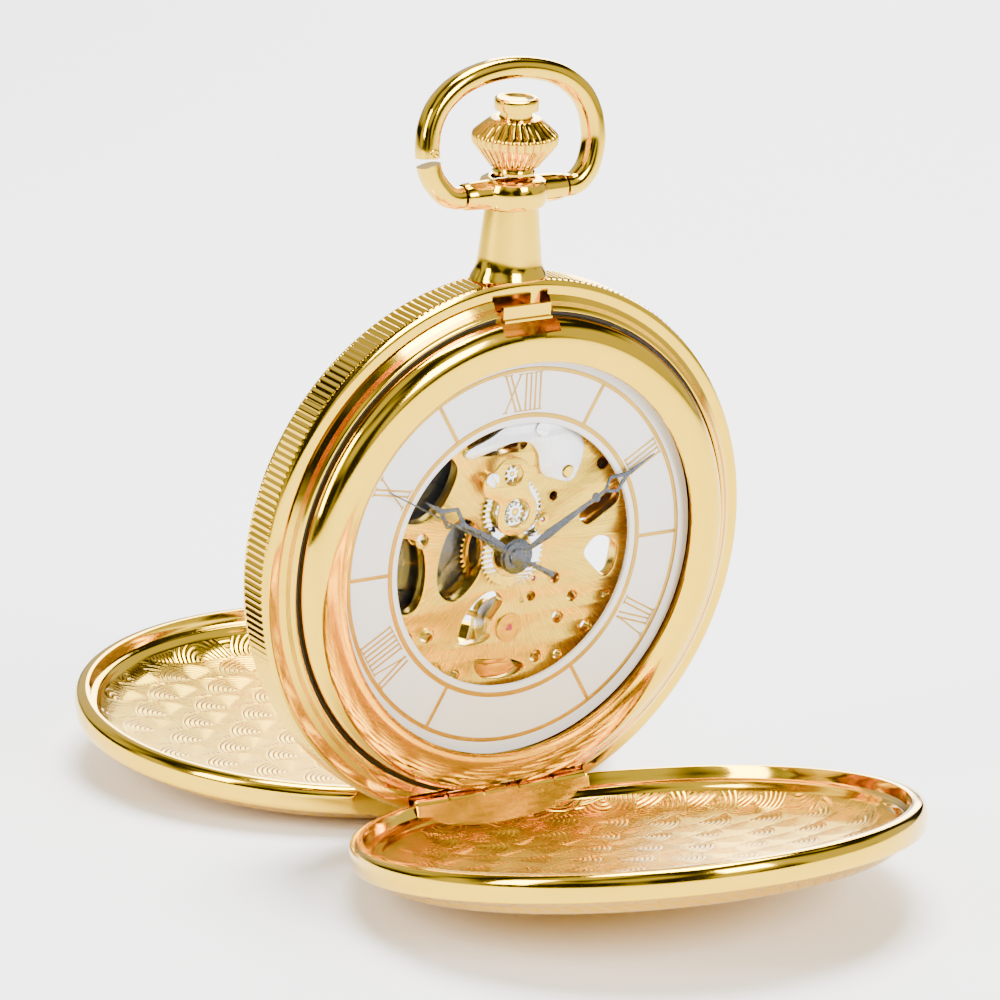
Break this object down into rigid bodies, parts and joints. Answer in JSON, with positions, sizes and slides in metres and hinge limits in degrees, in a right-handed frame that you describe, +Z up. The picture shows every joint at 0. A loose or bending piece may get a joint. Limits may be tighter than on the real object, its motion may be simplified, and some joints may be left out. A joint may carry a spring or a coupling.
{
  "type": "pocket watch",
  "caption": "Double-cover pocket watch with a skeleton mechanical movement, open white chapter ring, crown, bow and two hinged covers, standing open.",
  "frame": {"origin": "middle of the bounding box at the floor the open covers rest on", "axes": "+X to the right seen from the dial, -Y the way the dial faces, +Z up; +Y is the long way across both open covers and +X the short way"},
  "size_m": [0.0502, 0.0996, 0.0706],
  "materials": {
    "case_gold": "polished yellow gold plate",
    "movement_gold": "brushed gilt plate",
    "steel": "polished steel",
    "blued_steel": "dark blued steel",
    "dial_white": "satin white lacquer",
    "glass": "clear crystal"
  },
  "bodies": {
    "case": {"case_band": "case_gold", "movement_ring": "movement_gold", "front_bezel": "case_gold", "front_crystal": "glass", "rear_bezel": "case_gold", "rear_crystal": "glass", "front_hinge_pin": "case_gold", "back_hinge_pin": "case_gold", "lift_spring": "steel", "pendant_neck": "case_gold", "bow_collar": "case_gold", "dial": "dial_white", "dial_frame": "case_gold", "dial_spacer": "movement_gold", "main_plate": "movement_gold", "minute_work_bridge": "movement_gold", "minute_bridge_screw": "steel", "setting_lever_spring": "steel", "setting_spring_screw": "steel", "shock_setting": "movement_gold", "barrel_bridge": "movement_gold", "train_bridge": "movement_gold", "balance_cock": "movement_gold", "crown_wheel_screw": "steel", "mainspring": "steel", "bridge_screw_1": "steel", "bridge_screw_2": "steel", "bridge_screw_3": "steel", "bridge_screw_4": "steel", "hairspring": "steel"},
    "front_lid": {"front_cover": "case_gold"},
    "back_lid": {"back_cover": "case_gold"},
    "bow_loop": {"bow": "case_gold", "gate_rivet": "case_gold"},
    "gate": {"bow_gate": "case_gold"},
    "clutch": {"sliding_pinion": "steel"},
    "crown_and_stem": {"crown": "case_gold", "winding_stem": "steel"},
    "button": {"crown_button": "case_gold"},
    "cover_catch": {"latch": "steel"},
    "seconds": {"fourth_wheel": "movement_gold", "second_hand": "blued_steel"},
    "minutes": {"center_wheel": "movement_gold", "cannon_pinion": "steel", "minute_hand": "blued_steel"},
    "hours": {"hour_wheel": "steel", "hour_hand": "blued_steel"},
    "third": {"third_wheel": "movement_gold"},
    "escape": {"escape_wheel": "steel"},
    "barrel_drum": {"barrel": "blued_steel"},
    "minute_work": {"minute_wheel": "steel"},
    "setting": {"setting_wheel": "steel"},
    "pallets": {"pallet_fork": "steel"},
    "balance": {"balance_wheel": "movement_gold"},
    "ratchet": {"barrel_arbor": "steel", "ratchet_wheel": "steel", "ratchet_screw": "steel"},
    "crown_gear": {"crown_wheel": "steel"},
    "click_pawl": {"click": "steel"}
  },
  "joints": [
    {"name": "front_cover_hinge", "type": "hinge", "parent": "case", "child": "front_lid", "pos_m": [0, -0.0025, 0.00356], "axis": [1, 0, 0], "range_deg": [-77.2, 0]},
    {"name": "back_cover_hinge", "type": "hinge", "parent": "case", "child": "back_lid", "pos_m": [0, 0.00218, 0.0039], "axis": [1, 0, 0], "range_deg": [0, 89.5]},
    {"name": "bow_swing", "type": "hinge", "parent": "case", "child": "bow_loop", "pos_m": [0, -0.0042, 0.05873], "axis": [1, 0, 0], "range_deg": [-80, 96]},
    {"name": "gate_swing", "type": "hinge", "parent": "bow_loop", "child": "gate", "pos_m": [-0.00856, -0.00397, 0.06222], "axis": [0, 0.9978, -0.0663], "range_deg": [0, 50], "stiffness_Nm_per_rad": 0.0004, "springref_deg": -14.32},
    {"name": "crown_turn", "type": "hinge", "parent": "case", "child": "clutch", "pos_m": [0, -0.00277, 0.03923], "axis": [0, -0.0732, 0.9973], "continuous": true},
    {"name": "crown_pull", "type": "slide", "parent": "clutch", "child": "crown_and_stem", "axis": [0, -0.0732, 0.9973], "range_m": [0, 0.0008]},
    {"name": "button_press", "type": "slide", "parent": "crown_and_stem", "child": "button", "axis": [0, -0.0732, 0.9973], "range_m": [-0.0006, 0], "stiffness_N_per_m": 800, "springref_m": 0.0005},
    {"name": "catch_slide", "type": "slide", "parent": "case", "child": "cover_catch", "axis": [0, -0.0732, 0.9973], "range_m": [-0.0006, 0]},
    {"name": "seconds_turn", "type": "hinge", "parent": "case", "child": "seconds", "pos_m": [0, -0.00181, 0.02627], "axis": [0, 0.9973, 0.0732], "continuous": true},
    {"name": "minutes_turn", "type": "hinge", "parent": "case", "child": "minutes", "pos_m": [0, -0.00181, 0.02627], "axis": [0, 0.9973, 0.0732], "continuous": true},
    {"name": "hours_turn", "type": "hinge", "parent": "case", "child": "hours", "pos_m": [0, -0.00181, 0.02627], "axis": [0, 0.9973, 0.0732], "continuous": true},
    {"name": "third_turn", "type": "hinge", "parent": "case", "child": "third", "pos_m": [0.0036, -0.002, 0.02878], "axis": [0, 0.9973, 0.0732], "continuous": true},
    {"name": "escape_turn", "type": "hinge", "parent": "case", "child": "escape", "pos_m": [0.0029, -0.0016, 0.02335], "axis": [0, 0.9973, 0.0732], "continuous": true},
    {"name": "barrel_turn", "type": "hinge", "parent": "case", "child": "barrel_drum", "pos_m": [-0.0089, -0.00198, 0.02846], "axis": [0, 0.9973, 0.0732], "continuous": true},
    {"name": "minute_work_turn", "type": "hinge", "parent": "case", "child": "minute_work", "pos_m": [0.00008, -0.0021, 0.03017], "axis": [0, 0.9973, 0.0732], "continuous": true},
    {"name": "setting_turn", "type": "hinge", "parent": "case", "child": "setting", "pos_m": [-0.00043, -0.00237, 0.03377], "axis": [0, 0.9973, 0.0732], "continuous": true},
    {"name": "pallet_rock", "type": "hinge", "parent": "case", "child": "pallets", "pos_m": [0.00182, -0.00146, 0.02144], "axis": [0, 0.9973, 0.0732], "range_deg": [-1.5, 1.5]},
    {"name": "balance_swing", "type": "hinge", "parent": "case", "child": "balance", "pos_m": [0.0005, -0.00129, 0.01909], "axis": [0, 0.9973, 0.0732], "range_deg": [-250, 250], "stiffness_Nm_per_rad": 0.0000006},
    {"name": "ratchet_turn", "type": "hinge", "parent": "case", "child": "ratchet", "pos_m": [-0.0089, -0.00198, 0.02846], "axis": [0, 0.9973, 0.0732], "continuous": true},
    {"name": "crown_gear_turn", "type": "hinge", "parent": "case", "child": "crown_gear", "pos_m": [-0.00494, -0.00242, 0.03455], "axis": [0, 0.9973, 0.0732], "continuous": true},
    {"name": "click_lift", "type": "hinge", "parent": "case", "child": "click_pawl", "pos_m": [-0.01345, -0.00218, 0.03119], "axis": [0, 0.9973, 0.0732], "range_deg": [0, 8], "stiffness_Nm_per_rad": 0.00001, "springref_deg": -5.73}
  ],
  "couplings": [
    {"joint": "catch_slide", "follows": "button_press", "ratio": 1},
    {"joint": "minutes_turn", "follows": "seconds_turn", "ratio": 0.016667},
    {"joint": "hours_turn", "follows": "seconds_turn", "ratio": 0.0013889},
    {"joint": "third_turn", "follows": "seconds_turn", "ratio": -0.13333},
    {"joint": "escape_turn", "follows": "seconds_turn", "ratio": -10},
    {"joint": "barrel_turn", "follows": "seconds_turn", "ratio": -0.0020833},
    {"joint": "minute_work_turn", "follows": "seconds_turn", "ratio": -0.0055556},
    {"joint": "setting_turn", "follows": "seconds_turn", "ratio": 0.025},
    {"joint": "crown_gear_turn", "follows": "crown_turn", "ratio": 0.5},
    {"joint": "ratchet_turn", "follows": "crown_turn", "ratio": -0.43333}
  ]
}
